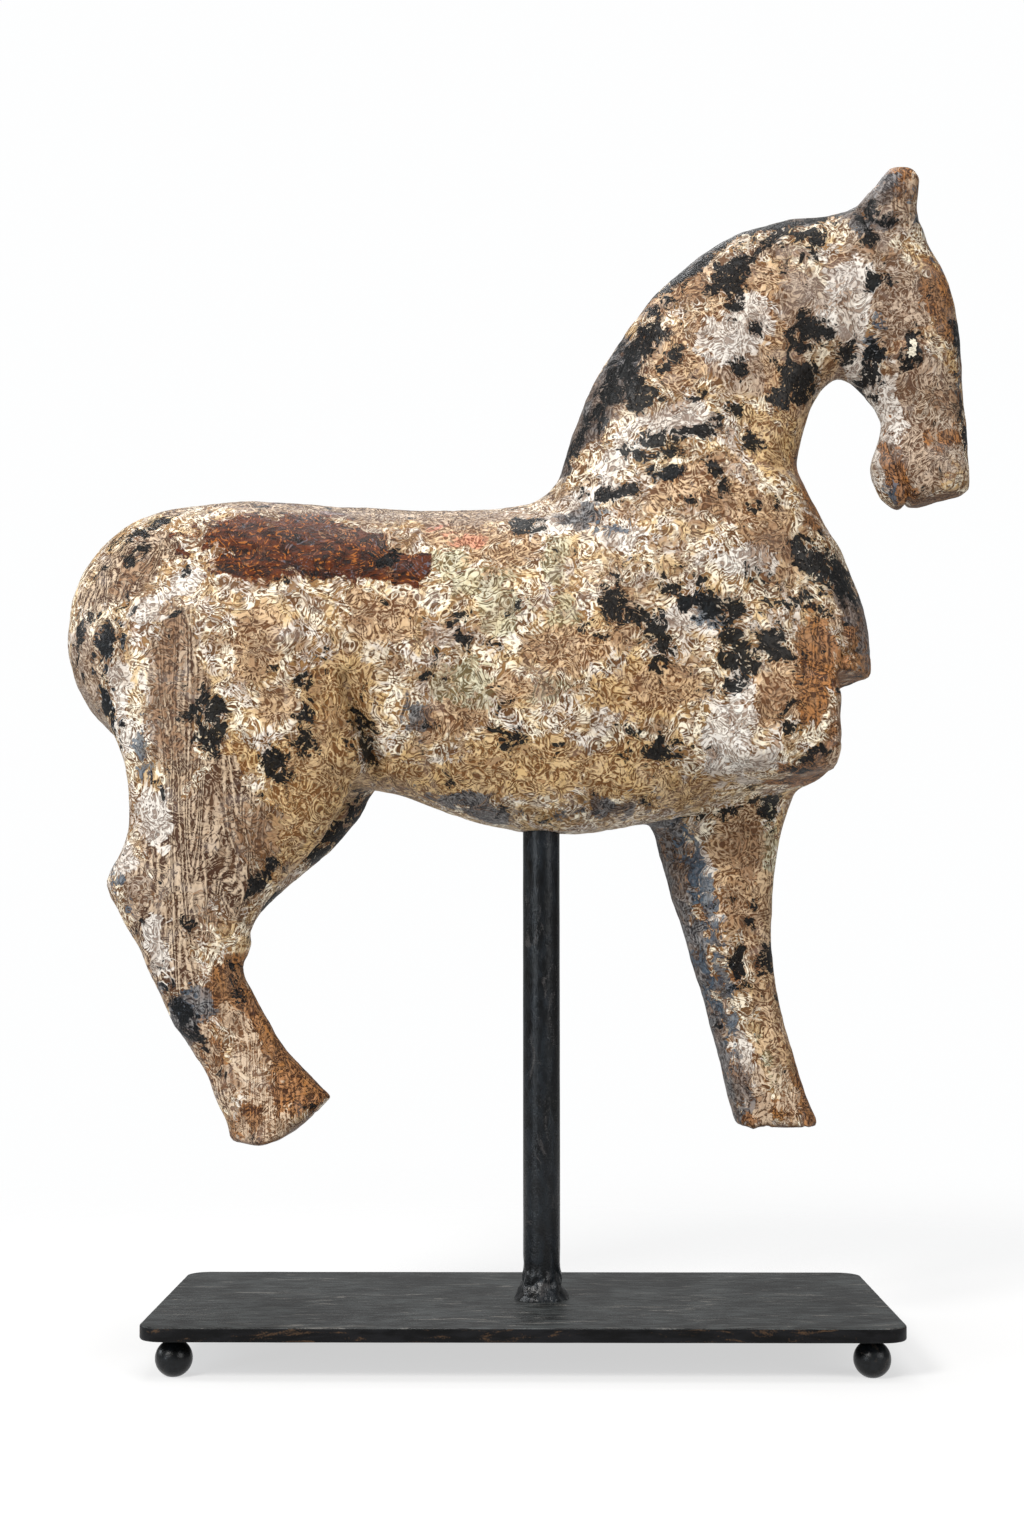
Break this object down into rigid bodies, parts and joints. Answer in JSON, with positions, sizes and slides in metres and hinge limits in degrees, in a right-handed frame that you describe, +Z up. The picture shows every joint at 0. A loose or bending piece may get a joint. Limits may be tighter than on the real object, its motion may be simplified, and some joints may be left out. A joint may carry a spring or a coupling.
{
  "type": "carved wooden horse on stand",
  "caption": "Standing carved wooden horse with worn paint and a lost foreleg, held up by a steel rod on a flat steel base with ball feet.",
  "frame": {"origin": "on the floor under the middle of the base plate", "axes": "+Z up, +X towards the horse's head, -Y towards the horse's near side with the lost foreleg"},
  "size_m": [0.4247, 0.15, 0.5521],
  "materials": {
    "painted_wood": "carved wood under flaked cream, black, teal and ochre paint, waxed",
    "rod_steel": "blackened steel rod, satin, with a rough weld at its foot",
    "plate_steel": "blackened steel plate with fine streaks",
    "ball_steel": "black steel balls, satin"
  },
  "bodies": {
    "root": {"horse": "painted_wood", "rod": "rod_steel", "base_plate": "plate_steel", "foot_front_left": "ball_steel", "foot_back_left": "ball_steel", "foot_front_right": "ball_steel", "foot_back_right": "ball_steel"}
  },
  "joints": []
}
